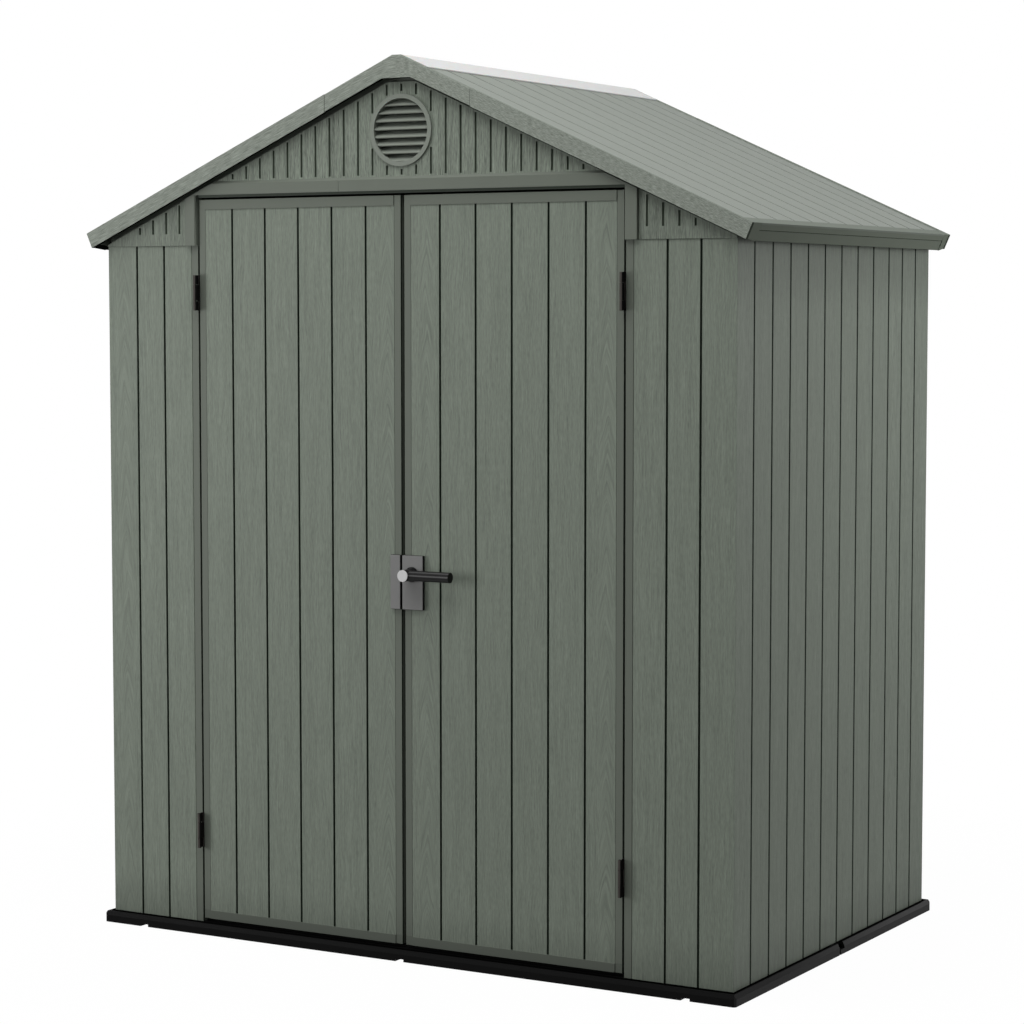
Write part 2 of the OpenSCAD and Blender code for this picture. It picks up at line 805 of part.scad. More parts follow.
module wall_hinges() { color(hinge_black) at_hinges() wall_hinge(); }
module door_hinges() { color(hinge_black) at_hinges() door_hinge(); }

// ---- Lock plates and lever ----

module strike_plate() {
    color(grey) translate([-plate_in - strike_plate_w, plate_face, plate_z - plate_h / 2])
        cube([strike_plate_w, plate_t, plate_h]);
}

module lock_plate() {
    color(grey) difference() {
        translate([plate_in, plate_face, plate_z - plate_h / 2]) cube([lock_plate_w, plate_t, plate_h]);
        translate([knob_x, plate_face - over, knob_z]) rotate([-90, 0, 0])
            cylinder(d = spindle_d + 2 * running, h = spindle_len + seat_gap + over);
    }
}

module lever_handle() {
    color(black) {
        translate([knob_x, knob_face + cap_t, knob_z]) rotate([-90, 0, 0])
            cylinder(d = knob_d, h = knob_len - cap_t);
        translate([knob_x, lever_y, knob_z]) rotate([0, 90, 0]) cylinder(d = lever_d, h = lever_reach);
        translate([knob_x, plate_face - seat_gap - rose_t, knob_z]) rotate([-90, 0, 0])
            cylinder(d = rose_d, h = rose_t);
        translate([knob_x, plate_face - seat_gap - over, knob_z]) rotate([-90, 0, 0])
            cylinder(d = spindle_d, h = over + seat_gap + spindle_len);
    }
}

module lever_cap() {
    color(pale_grey) translate([knob_x, knob_face, knob_z]) rotate([-90, 0, 0])
        cylinder(d = knob_d, h = cap_t);
}

floor_front();
floor_rear();
to_left() front_corner();  // front_corner_left
front_corner();  // front_corner_right
to_left() side_panel();  // side_panel_left
side_panel();  // side_panel_right
to_left() rear_corner();  // rear_corner_left
rear_corner();  // rear_corner_right
to_left() back_panel();  // back_panel_left
back_panel();  // back_panel_right
to_left() shoulder();  // shoulder_left
shoulder();  // shoulder_right
door_header();
front_gable();
rear_gable();
vent();  // front_vent
to_rear() vent();  // rear_vent
to_left() roof_slope(-roof_y, 0);  // roof_left_front
to_left() roof_slope(0, roof_y);  // roof_left_rear
roof_slope(-roof_y, 0);  // roof_right_front
roof_slope(0, roof_y);  // roof_right_rear
ridge_skylight();
to_left() fascia_side(front_return);  // front_fascia_left
fascia_apex();  // front_fascia_apex
fascia_side(front_return);  // front_fascia_right
to_rear() to_left() fascia_side(fascia_return);  // rear_fascia_left
to_rear() fascia_apex();  // rear_fascia_apex
to_rear() fascia_side(fascia_return);  // rear_fascia_right
to_left() eave_trim();  // eave_trim_left
eave_trim();  // eave_trim_right
to_left() wall_hinges();  // wall_hinges_left
wall_hinges();  // wall_hinges_right
to_left() door();  // door_left
door();  // door_right
to_left() door_hinges();  // door_hinges_left
door_hinges();  // door_hinges_right
strike_plate();
lock_plate();
lever_handle();
lever_cap();
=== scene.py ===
"""Looks of the resin garden shed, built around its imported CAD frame. Lengths are in metres."""
import math
from collections import namedtuple

import bpy
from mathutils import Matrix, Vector


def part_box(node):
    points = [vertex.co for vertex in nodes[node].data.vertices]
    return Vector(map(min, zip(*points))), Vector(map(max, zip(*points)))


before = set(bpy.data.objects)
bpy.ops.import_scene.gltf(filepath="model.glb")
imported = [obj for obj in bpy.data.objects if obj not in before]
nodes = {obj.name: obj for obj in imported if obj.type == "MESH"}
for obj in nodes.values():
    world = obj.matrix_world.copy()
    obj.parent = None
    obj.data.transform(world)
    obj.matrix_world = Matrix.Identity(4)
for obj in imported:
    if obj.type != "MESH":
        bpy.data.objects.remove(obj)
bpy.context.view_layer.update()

MM = 0.001

# Sizes that repeat the part's source
ROOF_PITCH = math.radians(24)
ROOF_BOARDS = 12
ROOF_DROP = 2.5 * MM
GROOVE_DEPTH = 5 * MM
DOOR_BORDER = 17.5 * MM
JAMB_BORDER = 19 * MM
FASCIA_T = 10 * MM
HEADER_BAND = 6 * MM
FOOT_RAIL = 20 * MM

# Sizes of the looks
LIP_LIGHT = 4.5 * MM                      # height of the painted light on the lip along the top of the eave trim
BASE_RIM = 7 * MM                   # width of the base outside the channel round the walls
BAND_DEPTH = 0.6 * MM               # depth at which the painted shade of the header's recessed band begins
GROOVE_SHADE_DEPTHS = (0.35 * MM, 1 * MM)   # depths between which the painted shade in a groove sets in
GROOVE_SHADE_PAST = 0.3 * MM              # how far the painted groove shade reaches past a groove's floor
INNER_DEPTH = 1.5 * GROOVE_DEPTH    # deeper than this under its outer face, a wall is bare of boards
JAMB_LINE = 2 * MM                  # half the width in which the line beside the jamb border stays free of painted groove shade
RIB_PITCH = 12 * MM                 # ribs of the translucent sheet
SHEET_DEPTH = 4 * MM                # how deep light spreads in it
GROOVE_GROUP = 8 * MM               # vertices of one groove lie closer together than this
NEAR = 0.2 * MM                     # faces closer than this count as one
CLEAR = 0.5 * MM                    # how far a limit stays off the face that it tells apart

# Rounding of edges, by a word in the node's name, and on all other nodes
EDGES = {"hinges": 0.5 * MM, "lever": 0.5 * MM, "vent": 0.8 * MM, "floor": 1.5 * MM,
         "fascia": 2.5 * MM, "eave": 2.5 * MM}
EDGE = 1 * MM
WIDE_EDGE = 2 * MM                  # wider ones get a finer arc

# Light: the sky's level, and each lamp's name, place, target, size and level.
# The rear lamp gives no highlights: the roof would throw them straight at the camera.
SKY = 0.5
LAMPS = (("front", (0, -1.8, 4.5), (0, -0.5, 1.0), 3.0, 0.77),
         ("left", (-3.0, -3.0, 1.2), (-0.5, -0.55, 1.2), 1.5, 0.4),
         ("low", (1.8, -4.0, 0.6), (0.7, -0.55, 0.8), 1.5, 0.045),
         ("side", (2.4, 0.8, 1.7), (0.9, 0.4, 1.4), 0.8, 0.54),
         ("rear", (-1.5, 5.0, 3.0), (0, 0.55, 1.2), 2.0, 0.35))

# Stage: the floor's size, its colour for light and for the camera, how white it looks near the shed, and
# the distances between which it turns fully white
FLOOR_SIZE = 60
FLOOR_LIT = (0.12, 0.12, 0.12, 1)
FLOOR_SEEN = (0.9, 0.9, 0.9, 1)
FLOOR_GLOW = 0.98
FLOOR_REACH = (1.0, 2.4)

# Camera: its place, its lens and sensor in millimetres, and how far it looks down and is turned in degrees
CAMERA_PLACE = (3.3998, -5.9418, 1.5043)
CAMERA_LENS = 97.89
CAMERA_SENSOR = 36
CAMERA_DOWN = 4.15
CAMERA_TURN = 29.98

# Tones in the resin: the tone of a door's bottom rail against the other smooth parts, and three fades,
# each from one place to another and with the tone at both: painted shade on all walls by height at the
# foot, painted shade on the side walls by height under the eaves, and painted sheen on the base's side
# slopes from front to rear
FOOT_SHADE = 0.8
PAINTED_FOOT_SHADE = (0.03, 0.15, 0.77, 1.0)
PAINTED_EAVE_SHADE = (1.48, 1.61, 1.0, 0.77)
SLOPE_SHEEN = (-0.5, 0.5, 0.6, 2.6)

# Noises of the grain: cycles per millimetre across and along a board, detail, roughness, what sets a noise
# apart from the others on its board, and its weight. The weight of streaks, flecks and bands is their share
# of the height of straight grain. SWAY bends the grain sideways and WOBBLE moves the arches lengthwise, by
# up to half so many mm either way.
Noise = namedtuple("Noise", "across along detail roughness draw weight")
STREAKS = Noise(across=0.6, along=0.014, detail=3.0, roughness=0.65, draw=0.0, weight=0.55)
FLECKS = Noise(across=0.6, along=0.07, detail=1.0, roughness=0.5, draw=9.0, weight=0.3)
BANDS = Noise(across=0.1, along=0.003, detail=2.0, roughness=0.5, draw=4.0, weight=0.15)
SWAY = Noise(across=0.01, along=0.005, detail=1.0, roughness=0.5, draw=0.0, weight=24.0)
WOBBLE = Noise(across=0.04, along=0.012, detail=1.0, roughness=0.5, draw=2.0, weight=50.0)
ARCHES = Noise(across=0.03, along=0.06, detail=3.0, roughness=0.7, draw=0.0, weight=1.0)

# Arched grain: half the width that it covers in mm, and the part of it at full strength, the bluntness of
# its tips in mm, its length for each mm of width, and its strength
ARCH_REACH = 24.0
ARCH_FULL = 0.4 * ARCH_REACH
ARCH_TIP = 2.0
ARCH_RISE = 4.5
ARCH_SHARE = 0.65

# Boards with arched grain, by node. Boards are numbered from 0 by rising x on a front or back, and from
# FLANK by rising y on a side.
FLANK = 20
ARCHED = {"front_corner_left": (0,), "front_corner_right": (3,),
          "rear_corner_left": (FLANK + 1,), "rear_corner_right": (FLANK + 1,),
          "back_panel_left": (1, 4), "back_panel_right": (1, 4),
          "door_left": (5,), "door_right": (0, 5)}

# From board to board: the span of the boards' seeds, how far a seed moves the noise along, the range in mm
# over which the grain's middle shifts, and the range of the tone of wall and roof boards. SECOND_DRAW keeps
# a board's second random number off its first, and ROOF_SEED draws the roof's boards.
SEED_SPAN = 17.0
SEED_JUMP = 731.0
BOARD_SHIFT = 40.0
WALL_TONE = 0.025
ROOF_TONE = 0.02
SECOND_DRAW = 40.0
ROOF_SEED = 5.0

# Swing of the grain's tone, either way, on walls, roof and fascias
WALL_GRAIN = 0.52
ROOF_GRAIN = 0.15
FASCIA_GRAIN = 0.34

# Fascia grain: the roundness of its bend under the apex, its streaks' cycles per millimetre across, and
# along on the left and on the right half, and what sets the front's noise apart from the rear's
FASCIA_FOLD = 45 * MM
FASCIA_ACROSS = 0.7
FASCIA_ALONG = (0.03, 0.08)
FASCIA_DRAW = 3.0

# Painted highlight streaks on the lever, by the upward share of its normal: where a streak starts, is full,
# begins to fade and ends
UPPER_HIGHLIGHT = (0.62, 0.72, 0.8, 0.9)
MIDDLE_HIGHLIGHT = (-0.12, 0.08, 0.15, 0.3)

# Places measured on the frame
WALL_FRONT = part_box("front_corner_left")[0].y
WALL_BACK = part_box("rear_corner_left")[1].y
WALL_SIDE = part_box("side_panel_right")[1].x
GABLE_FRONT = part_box("front_gable")[0].y
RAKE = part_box("front_fascia_left")[0].y
JAMB_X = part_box("front_corner_right")[0].x
ROOF_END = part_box("roof_right_front")[0].y
HEADER_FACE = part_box("door_header")[0].y
HEADER_LOW = min(v.co.z for v in nodes["door_header"].data.vertices
                 if abs(v.co.x) < JAMB_X - JAMB_BORDER)
EAVE = max((v.co for v in nodes["front_fascia_right"].data.vertices), key=lambda place: place.x)
BASE_SIDE_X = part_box("floor_front")[1].x
BASE_FRONT_Y = abs(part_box("floor_front")[0].y)
LEVER_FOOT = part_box("lever_cap")[1].x

# Colours as sRGB shares
WALL = (0.468, 0.5, 0.456)
SMOOTH = (0.397, 0.42, 0.384)
ROOF = (0.486, 0.509, 0.479)
FASCIA = (0.544, 0.568, 0.534)
TRIM = (0.451, 0.477, 0.437)
# Painted shade in the grooves of the walls
GROOVE_SHADE = (0.100, 0.140, 0.100)
# Painted shade in the slots of the gables and shoulders
SLOT_SHADE = (0.320, 0.355, 0.310)
VENT = (0.49, 0.513, 0.478)
# Painted shade in the grooves between the roof's boards
ROOF_GROOVE_SHADE = (0.040, 0.050, 0.040)
# Painted shade in the header's recessed band
RECESS_SHADE = (0.197, 0.23, 0.193)
# Painted shade on the undersides of fascias and trim
UNDERSIDE_SHADE = (0.075, 0.085, 0.070)
BLACK = (0.082, 0.082, 0.082)
# Painted shade on the end faces of the fascias
FASCIA_END_SHADE = (0.270, 0.290, 0.260)
# Painted sheen on the base's sides and side slopes
BASE_SIDE_SHEEN = (0.175, 0.175, 0.175)
BASE_SLOPE_SHEEN = (0.178, 0.178, 0.178)
# Painted shade in the channel round the walls
CHANNEL_SHADE = (0.020, 0.020, 0.020)
HINGE = (0.105, 0.100, 0.098)
# Painted light on the hinges' lit flank
PAINTED_HINGE_LIGHT = (0.310, 0.296, 0.284)
PLATE = (0.500, 0.500, 0.497)
PLATE_SIDE = (0.060, 0.060, 0.060)
LEVER = (0.060, 0.060, 0.060)
# Painted highlight streaks on the lever
LEVER_HIGHLIGHT = (0.330, 0.330, 0.330)
CAP = (0.830, 0.830, 0.830)
SHEET = (0.765, 0.767, 0.763)


# ---- Node graphs ----

def linear(srgb):
    """An sRGB colour as the linear colour that a shader takes."""
    return tuple(c / 12.92 if c <= 0.04045 else ((c + 0.055) / 1.055) ** 2.4 for c in srgb) + (1.0,)


class Graph:
    """Writes the nodes of one tree."""

    def __init__(self, tree):
        self.tree = tree

    def feed(self, socket, value):
        """Links a socket to another one, or sets it to a constant."""
        if isinstance(value, bpy.types.NodeSocket):
            self.tree.links.new(value, socket)
        else:
            socket.default_value = value

    def node(self, kind, *values, **settings):
        """A new node with the given settings, and with the values fed into its inputs in their order."""
        node = self.tree.nodes.new(kind)
        for name, setting in settings.items():
            setattr(node, name, setting)
        for socket, value in zip(node.inputs, values):
            self.feed(socket, value)
        return node

    def split(self, vector):
        """The three parts of a vector."""
        return self.node("ShaderNodeSeparateXYZ", vector).outputs

    def vector(self, x, y, z):
        """A vector of three parts."""
        return self.node("ShaderNodeCombineXYZ", x, y, z).outputs[0]

    def math(self, operation, *values):
        """One step of arithmetic."""
        return self.node("ShaderNodeMath", *values, operation=operation).outputs[0]

    def chain(self, operation, values):
        """The same step over any number of values, from the left."""
        result = values[0]
        for value in values[1:]:
            result = self.math(operation, result, value)
        return result

    def add(self, *values):
        """Sum of numbers."""
        return self.chain("ADD", values)

    def times(self, *values):
        """Product of numbers."""
        return self.chain("MULTIPLY", values)

    def largest(self, *values):
        """Largest of numbers."""
        return self.chain("MAXIMUM", values)

    def minus(self, a, b):
        """a less b."""
        return self.math("SUBTRACT", a, b)

    def absolute(self, value):
        """A number without its sign."""
        return self.math("ABSOLUTE", value)

    def above(self, value, limit):
        """1 where value is above limit, else 0."""
        return self.math("GREATER_THAN", value, limit)

    def below(self, value, limit):
        """1 where value is below limit, else 0."""
        return self.math("LESS_THAN", value, limit)

    def length(self, a, b):
        """Length of a line with the legs a and b."""
        return self.math("SQRT", self.add(self.times(a, a), self.times(b, b)))

    def in_mm(self, value):
        """A length in millimetres."""
        return self.times(value, 1 / MM)

    def noise(self, x, y, z=0.0, detail=2.0, roughness=0.5):
        """Noise around 0.5 at a point, with features about one unit wide."""
        node = self.node("ShaderNodeTexNoise", self.vector(x, y, z))
        settings = {"Scale": 1.0, "Detail": detail, "Roughness": roughness, "Distortion": 0.0}
        for name, value in settings.items():
            node.inputs[name].default_value = value
        return node.outputs["Fac"]

    def cloud(self, *places, detail=2.0):
        """Soft noise around 0.5. Each place is a coordinate and its cycles per unit."""
        return self.noise(*(self.times(value, rate) for value, rate in places), detail=detail)

    def random(self, value, seed):
        """A random share for each whole number that value takes."""
        place = self.vector(value, seed, 0.0)
        return self.node("ShaderNodeTexWhiteNoise", place, noise_dimensions="2D").outputs["Value"]

    def ramp(self, value, low, high, start=0.0, end=1.0, smooth=True):
        """Runs from start to end while value runs from low to high."""
        kind = "SMOOTHSTEP" if smooth else "LINEAR"
        node = self.node("ShaderNodeMapRange", value, low, high, start, end, interpolation_type=kind)
        return node.outputs[0]

    def tone(self, height, swing, middle=1.0, span=0.3, smooth=True):
        """A tone that swings round middle while height runs from span under 0.5 to span over it."""
        return self.ramp(height, 0.5 - span, 0.5 + span, middle - swing, middle + swing, smooth)

    def blend(self, share, a, b):
        """The number a where share is 0, and b where it is 1."""
        node = self.node("ShaderNodeMix", share)
        self.feed(node.inputs["A"], a)
        self.feed(node.inputs["B"], b)
        return node.outputs[0]

    def colour(self, share, a, b):
        """The colour a where share is 0, and b where it is 1."""
        node = self.node("ShaderNodeMix", share, data_type="RGBA")
        self.feed(node.inputs["A"], a)
        self.feed(node.inputs["B"], b)
        return node.outputs["Result"]

    def mix(self, share, a, b):
        """The shader a where share is 0, and b where it is 1."""
        return self.node("ShaderNodeMixShader", share, a, b).outputs[0]

    def scaled(self, colour, level):
        """A colour made lighter or darker by a number that varies."""
        start = colour[:3] if isinstance(colour, tuple) else colour
        node = self.node("ShaderNodeVectorMath", start, operation="SCALE")
        self.feed(node.inputs["Scale"], level)
        return node.outputs[0]


class Material(Graph):
    """Writes the nodes of a new material.

    x, y and z are the place on the object in metres. nx, ny and nz are the normal's shares along the axes.
    """

    def __init__(self, name):
        self.material = bpy.data.materials.new(name)
        self.material.use_nodes = True
        super().__init__(self.material.node_tree)
        self.shader = self.tree.nodes["Principled BSDF"]
        coordinates = self.node("ShaderNodeTexCoord")
        self.x, self.y, self.z = self.split(coordinates.outputs["Object"])
        self.nx, self.ny, self.nz = self.split(coordinates.outputs["Normal"])

    def finish(self, colour, height, relief, roughness, highlight):
        """Sets the shader. relief is the full height of the embossing, highlight its highlights' level."""
        self.feed(self.shader.inputs["Base Color"], colour)
        self.feed(self.shader.inputs["Roughness"], roughness)
        self.shader.inputs["Specular IOR Level"].default_value = highlight
        bump = self.node("ShaderNodeBump")
        for name, value in (("Strength", 1.0), ("Distance", relief), ("Height", height)):
            self.feed(bump.inputs[name], value)
        self.feed(self.shader.inputs["Normal"], bump.outputs[0])
        return self.material


# ---- Grain ----

def wood_relief(g, across, along, seed, arches=0.0, size=1.0):
    """Embossed wood grain, as a height around 0.5. Both coordinates are in millimetres.

    arches is the share of arched grain. size makes the grain wider, and its streaks and flecks longer too.
    """
    start = g.times(seed, SEED_JUMP)
    sway = g.noise(g.add(g.times(along, SWAY.along), start), g.times(across, SWAY.across), SWAY.draw,
                   SWAY.detail, SWAY.roughness)
    bent = g.add(across, g.times(g.minus(sway, 0.5), SWAY.weight))

    def layer(kind, stretch):
        """One noise of the straight grain, times its weight."""
        place = g.add(g.times(along, kind.along / stretch), start)
        height = g.noise(g.times(bent, kind.across / size), place, g.add(seed, kind.draw),
                         kind.detail, kind.roughness)
        return g.times(height, kind.weight)

    straight = g.add(layer(STREAKS, size), layer(FLECKS, size), layer(BANDS, 1.0))
    if not arches:
        return straight
    middle = g.ramp(g.absolute(bent), ARCH_REACH, ARCH_FULL)
    return g.blend(g.times(middle, arches), straight, arch_relief(g, bent, along, seed))


def arch_relief(g, across, along, seed):
    """Nested pointed arches of flat-sawn wood round the line where across is 0, as a height around 0.5."""
    wobble = g.noise(g.times(across, WOBBLE.across), g.times(along, WOBBLE.along),
                     g.add(seed, WOBBLE.draw), WOBBLE.detail, WOBBLE.roughness)
    level = g.add(along, g.times(g.length(across, ARCH_TIP), ARCH_RISE),
                  g.times(g.minus(wobble, 0.5), WOBBLE.weight))
    return g.noise(g.times(level, ARCHES.along), g.times(across, ARCHES.across),
                   g.add(seed, ARCHES.draw), ARCHES.detail, ARCHES.roughness)


# ---- Boards ----

def groove_lines(name, axis, face, side):
    """Centres of a node's grooves along an axis (0 or 1), cut into the given face (side -1 or +1)."""
    depth_axis = 1 - axis
    found = []
    for vertex in nodes[name].data.vertices:
        depth = (face - vertex.co[depth_axis]) * side
        if abs(depth - GROOVE_DEPTH) < NEAR:
            found.append(vertex.co[axis])
    lines = []
    for place in sorted(found):
        if lines and place - lines[-1][-1] < GROOVE_GROUP:
            lines[-1].append(place)
        else:
            lines.append([place])
    return [(group[0] + group[-1]) / 2 for group in lines]


def line_index(g, value, lines):
    """How many of the lines lie below value."""
    return g.add(0.0, *(g.above(value, line) for line in lines))


def board_middle(g, turned, lines_x, lines_y, node):
    """Middle of the board that a point lies on, along the board's width."""
    low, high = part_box(node)
    middles = []
    for axis, lines, value in ((0, lines_x, g.x), (1, lines_y, g.y)):
        edges = [low[axis]] + list(lines) + [high[axis]]
        centres = [(a + b) / 2 for a, b in zip(edges, edges[1:])]
        steps = (g.times(g.above(value, line), after - before)
                 for line, before, after in zip(lines, centres, centres[1:]))
        middles.append(g.add(centres[0], *steps))
    return g.blend(turned, *middles)


def beside_jamb_line(g):
    """0 in the shallow line beside the jamb border, which gets no painted groove shade, and 1 elsewhere."""
    away = g.absolute(g.minus(g.absolute(g.x), JAMB_X + JAMB_BORDER))
    return g.above(away, JAMB_LINE)


def groove_shade_share(g, depth):
    """Share of painted shade: 1 in the grooves, by depth under the face, 0 on the boards and the inside."""
    return g.times(g.ramp(depth, *GROOVE_SHADE_DEPTHS), g.below(depth, GROOVE_DEPTH + GROOVE_SHADE_PAST),
                   beside_jamb_line(g))


def inner_face(g):
    """1 on a wall's inner face."""
    deep_y = g.below(g.absolute(g.y), abs(WALL_FRONT) - INNER_DEPTH)
    deep_x = g.below(g.absolute(g.x), WALL_SIDE - INNER_DEPTH)
    return g.times(deep_x, deep_y)


def corner_smooth(g):
    """Share of smooth resin on a front corner: the border beside the doorway and the inner faces."""
    return g.largest(g.below(g.absolute(g.x), JAMB_X + JAMB_BORDER), inner_face(g))


def door_smooth(name):
    """Share of smooth resin on a door: its two borders, its two raised rails and its back."""
    low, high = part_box(name)
    middle, reach = (low.x + high.x) / 2, (high.x - low.x) / 2 - DOOR_BORDER

    def share(g):
        """1 on the smooth parts."""
        border = g.above(g.absolute(g.minus(g.x, middle)), reach)
        rail = g.below(g.y, WALL_FRONT - NEAR)
        back = g.above(g.y, WALL_FRONT + INNER_DEPTH)
        return g.largest(border, rail, back)
    return share


def smooth_tone(g, node):
    """Tone of a node's smooth parts: a door's bottom rail is darker than the rest."""
    if not node.startswith("door"):
        return 1.0
    low = g.below(g.z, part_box(node)[0].z + FOOT_RAIL + EDGE)
    return g.blend(low, 1.0, FOOT_SHADE)


def painted_wall_shade(g, turned):
    """Tone of a wall: painted shade at the foot and, on the sides, under the eaves."""
    return g.times(g.ramp(g.z, *PAINTED_FOOT_SHADE), g.blend(turned, 1.0, g.ramp(g.z, *PAINTED_EAVE_SHADE)))


def board_resin(name, node, seed, front=None, side=None, smooth=inner_face, size=1.0, force=1.0,
                line=GROOVE_SHADE, shade=1.0):
    """Grained wall resin of one node.

    front and side are (face, sign) of its front or back and of its side, and smooth gives its share of
    smooth resin. size and force are the grain's, line is the grooves' painted shade, and shade the boards'
    tone.
    """
    g = Material(name)
    lines_x = groove_lines(node, 0, *front) if front else []
    lines_y = groove_lines(node, 1, *side) if side else []
    depth_y = g.times(g.minus(front[0], g.y), float(front[1])) if front else 1.0
    depth_x = g.times(g.minus(side[0], g.x), float(side[1])) if side else 1.0
    turned = g.below(depth_x, depth_y)
    index = g.blend(turned, line_index(g, g.x, lines_x), g.add(line_index(g, g.y, lines_y), FLANK))
    pick = g.random(index, seed)
    change = g.minus(g.random(g.add(index, SECOND_DRAW), seed), 0.5)

    across = g.minus(g.blend(turned, g.x, g.y), board_middle(g, turned, lines_x, lines_y, node))
    across = g.add(g.in_mm(across), g.times(change, BOARD_SHIFT))
    arches = g.add(0.0, *(g.times(g.math("COMPARE", index, board, 0.5), ARCH_SHARE)
                          for board in ARCHED.get(node, ())))
    plain = smooth(g)
    height = wood_relief(g, across, g.in_mm(g.z), g.times(pick, SEED_SPAN), arches, size)
    height = g.blend(plain, height, 0.5)

    tone = g.add(g.tone(height, WALL_GRAIN * force, smooth=False), g.times(change, WALL_TONE))
    # shade below 1 darkens the boards with painted shade
    lit = g.scaled(linear(WALL), g.times(tone, shade))
    lit = g.colour(plain, lit, g.scaled(linear(SMOOTH), smooth_tone(g, node)))
    # Painted shade at the foot and, on the sides, under the eaves
    lit = g.scaled(lit, painted_wall_shade(g, turned))
    # Painted shade in the grooves
    lit = g.colour(groove_shade_share(g, g.math("MINIMUM", depth_x, depth_y)), lit, linear(line))
    return g.finish(lit, height, relief=0.5 * MM, roughness=0.55, highlight=0.2)


# ---- Roof ----

def slope_depth(g):
    """Depth under the plane of the roof's slope, on either side of the ridge."""
    out = g.minus(EAVE.x, g.absolute(g.x))
    rise = g.minus(g.z, EAVE.z)
    return g.minus(g.times(out, math.sin(ROOF_PITCH)), g.times(rise, math.cos(ROOF_PITCH)))


def roof_resin():
    """Grained roof boards down the slope, with painted shade in the grooves between them."""
    g = Material("roof_resin")
    board = g.math("FLOOR", g.math("DIVIDE", g.y, 2 * abs(ROOF_END) / ROOF_BOARDS))
    pick = g.random(board, ROOF_SEED)
    along = g.times(g.absolute(g.x), 1 / MM / math.cos(ROOF_PITCH))
    height = wood_relief(g, g.in_mm(g.y), along, g.times(pick, SEED_SPAN))
    tone = g.add(g.tone(height, ROOF_GRAIN, smooth=False), g.times(g.minus(pick, 0.5), ROOF_TONE))
    # Painted shade below the boards' face: in the grooves between them and on the roof's underside
    line = g.above(slope_depth(g), ROOF_DROP + NEAR)
    lit = g.colour(line, g.scaled(linear(ROOF), tone), linear(ROOF_GROOVE_SHADE))
    return g.finish(lit, height, relief=0.4 * MM, roughness=0.55, highlight=0.2)


def fascia_streaks(g):
    """Fine streaks along the fascias, bent round the apex and shorter on the right half."""
    reach = g.minus(g.length(g.x, FASCIA_FOLD), FASCIA_FOLD)
    across = g.times(g.add(g.z, g.times(reach, math.tan(ROOF_PITCH))), math.cos(ROOF_PITCH) / MM)
    along = g.times(g.x, 1 / MM / math.cos(ROOF_PITCH))
    stretch = g.blend(g.above(g.x, 0.0), *FASCIA_ALONG)
    return g.noise(g.times(across, FASCIA_ACROSS), g.times(along, stretch),
                   g.times(g.math("SIGN", g.y), FASCIA_DRAW), detail=3.0, roughness=0.7)


def fascia_resin():
    """Fascias with fine streaks, a smooth top in the roof's colour, and painted shade on their end faces
    and undersides.
    """
    g = Material("fascia_resin")
    height = fascia_streaks(g)
    lit = g.scaled(linear(FASCIA), g.tone(height, FASCIA_GRAIN, span=0.14, smooth=False))
    behind = g.below(g.absolute(g.y), abs(RAKE) - FASCIA_T - CLEAR)
    top = g.ramp(g.nz, 0.3, 0.6)
    lit = g.colour(top, g.colour(behind, lit, linear(TRIM)), linear(ROOF))
    # Painted shade on the end faces of the front plate
    aside = g.below(g.add(g.absolute(g.ny), g.absolute(g.nz)), 0.6)
    shaded_end = g.times(aside, g.minus(1.0, behind))
    lit = g.colour(shaded_end, lit, linear(FASCIA_END_SHADE))
    # Painted shade on the undersides
    underside_shade = g.times(g.below(g.nz, -0.3), g.below(g.absolute(g.nx), 0.7))
    lit = g.colour(underside_shade, lit, linear(UNDERSIDE_SHADE))
    height = g.blend(g.largest(behind, shaded_end, top), height, 0.5)
    return g.finish(lit, height, relief=0.45 * MM, roughness=0.58, highlight=0.0)


def trim_resin():
    """Dark trim with painted light on the lip along its top and painted shade on its underside."""
    g = Material("trim_resin")
    cloud = g.cloud((g.y, 12.0), (g.z, 40.0))
    # Painted light on the lip along the top, in the roof's colour
    lit = g.colour(g.below(slope_depth(g), LIP_LIGHT), linear(TRIM), linear(ROOF))
    # Painted shade on the underside
    lit = g.colour(g.below(g.nz, -0.5), g.scaled(lit, g.tone(cloud, 0.02)), linear(UNDERSIDE_SHADE))
    return g.finish(lit, cloud, relief=0.05 * MM, roughness=0.5, highlight=0.0)


def skylight_resin():
    """Pale translucent sheet with faint ribs across the ridge."""
    g = Material("skylight_resin")
    ribs = g.math("SINE", g.times(g.y, 2 * math.pi / RIB_PITCH))
    cloud = g.cloud((g.x, 30.0), (g.y, 6.0), (g.z, 30.0))
    g.shader.inputs["Subsurface Weight"].default_value = 0.25
    g.shader.inputs["Subsurface Scale"].default_value = SHEET_DEPTH
    lit = g.scaled(linear(SHEET), g.tone(cloud, 0.02, span=0.2))
    return g.finish(lit, g.times(ribs, 0.1), relief=0.3 * MM, roughness=0.38, highlight=0.5)


# ---- Smooth parts ----

def smooth_resin(name, colour, roughness=0.5):
    """Plain moulded resin with a faint cloudy tone and a fine moulded texture."""
    g = Material(name)
    places = [g.in_mm(value) for value in (g.x, g.y, g.z)]
    cloud = g.cloud(*((place, 0.012) for place in places), detail=3.0)
    fine = g.cloud(*((place, 0.9) for place in places))
    tone = g.add(g.tone(cloud, 0.02), g.times(g.minus(fine, 0.5), 0.02))
    return g.finish(g.scaled(linear(colour), tone), fine, relief=0.05 * MM,
                    roughness=g.tone(cloud, 0.04, middle=roughness, span=0.2), highlight=0.2)


